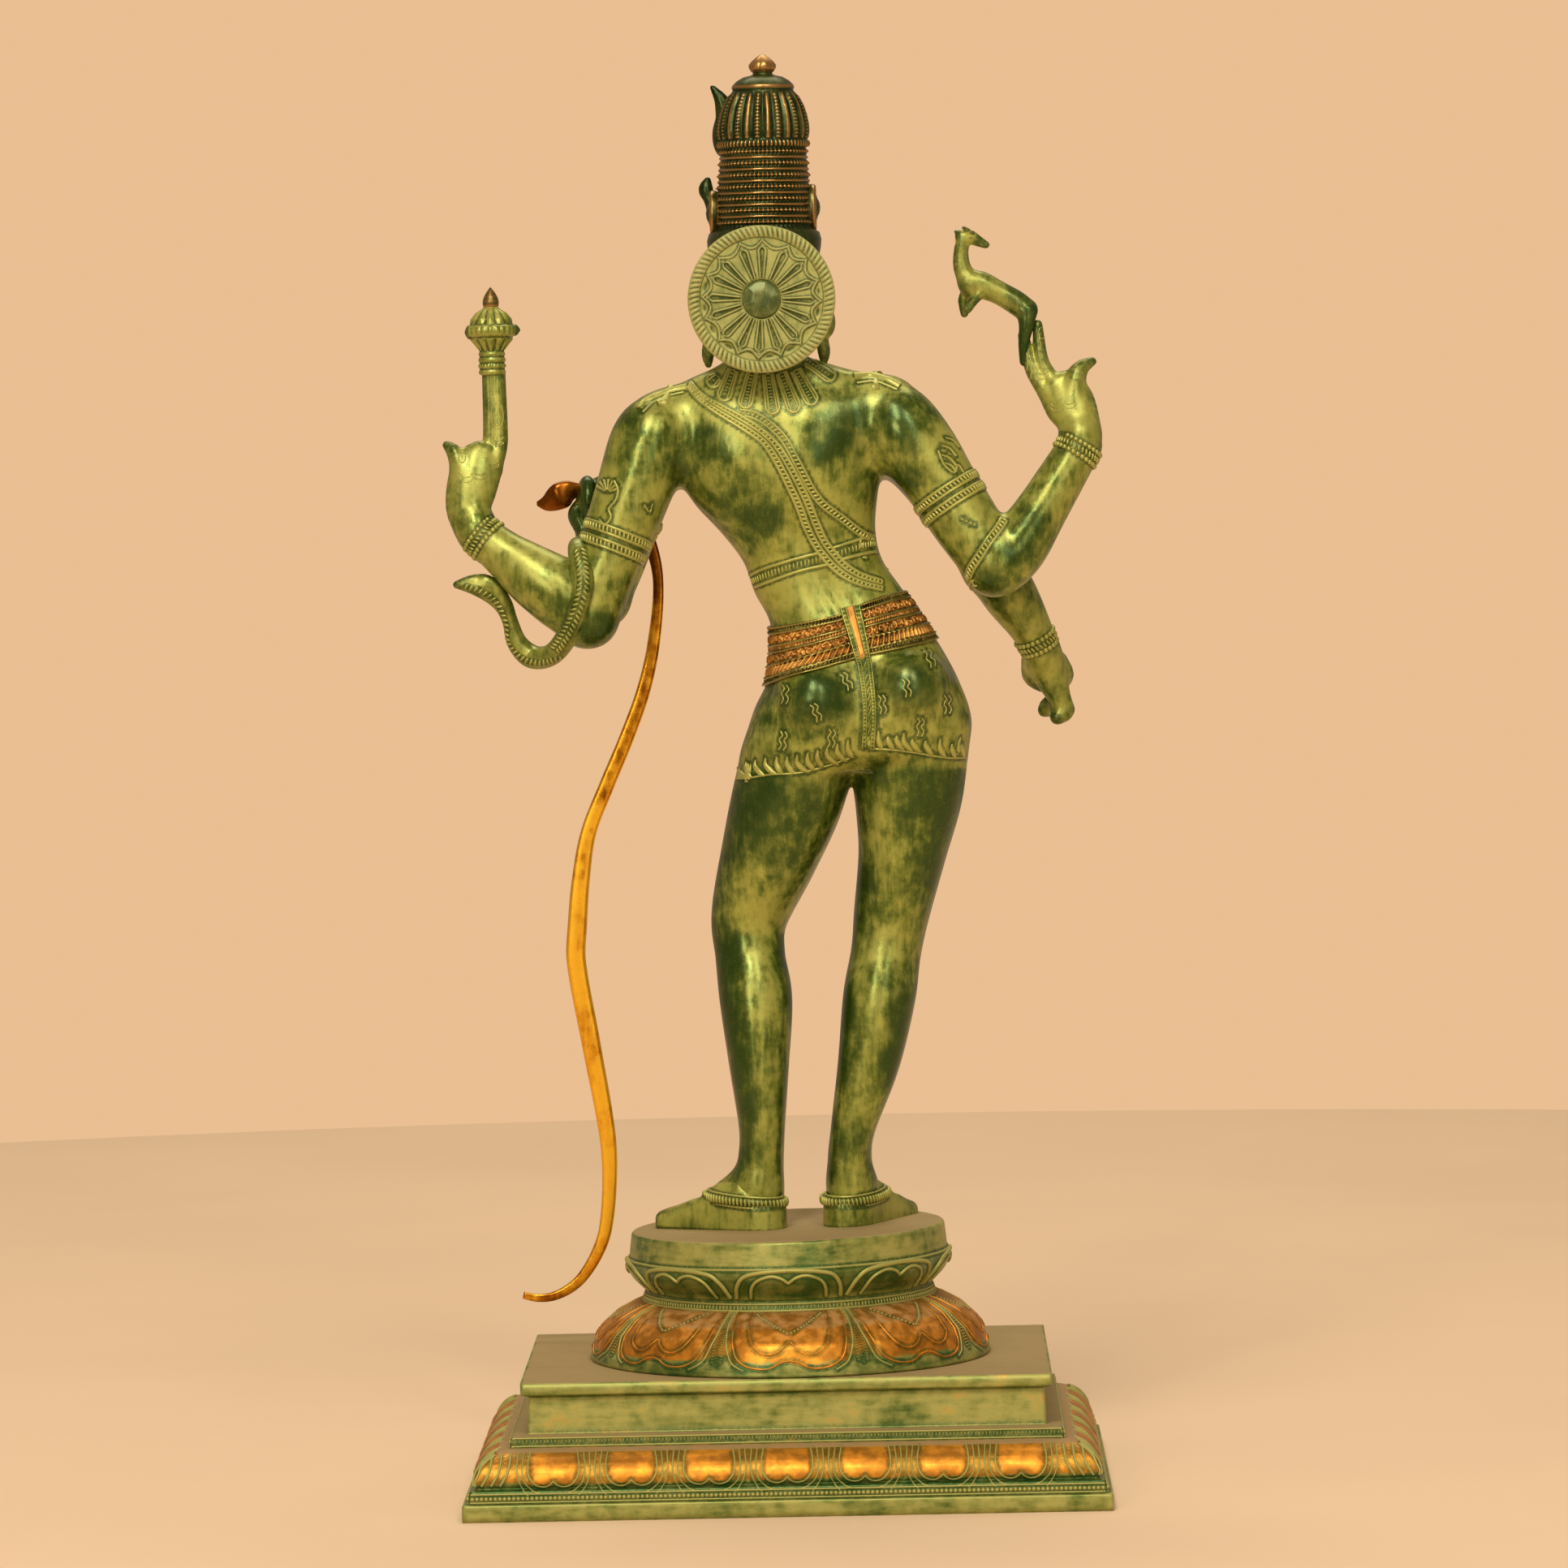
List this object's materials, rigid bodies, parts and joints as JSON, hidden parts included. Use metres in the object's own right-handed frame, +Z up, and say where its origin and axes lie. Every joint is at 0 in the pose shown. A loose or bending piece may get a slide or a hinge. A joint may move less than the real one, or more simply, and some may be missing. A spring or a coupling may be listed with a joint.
{
  "type": "four-armed bronze deity statue",
  "caption": "Cast bronze four-armed standing deity in a tall crown on a round lotus and stepped base, holding an axe, a leaping deer and a separate brass bow.",
  "frame": {"origin": "middle of the base's underside, on the surface it stands on", "axes": "+Z up, the figure faces -Y and its own left side is +X"},
  "size_m": [0.2818, 0.2218, 0.61],
  "materials": {
    "green_bronze": "cast bronze with a semi-gloss green patina and rubbed golden ridges",
    "base_bronze": "cast bronze with a dry green patina and burnished petals",
    "bow_brass": "bare polished brass, darker towards its ends"
  },
  "bodies": {
    "root": {"figure_on_lotus": "green_bronze", "stepped_base": "base_bronze", "bow": "bow_brass"}
  },
  "joints": []
}
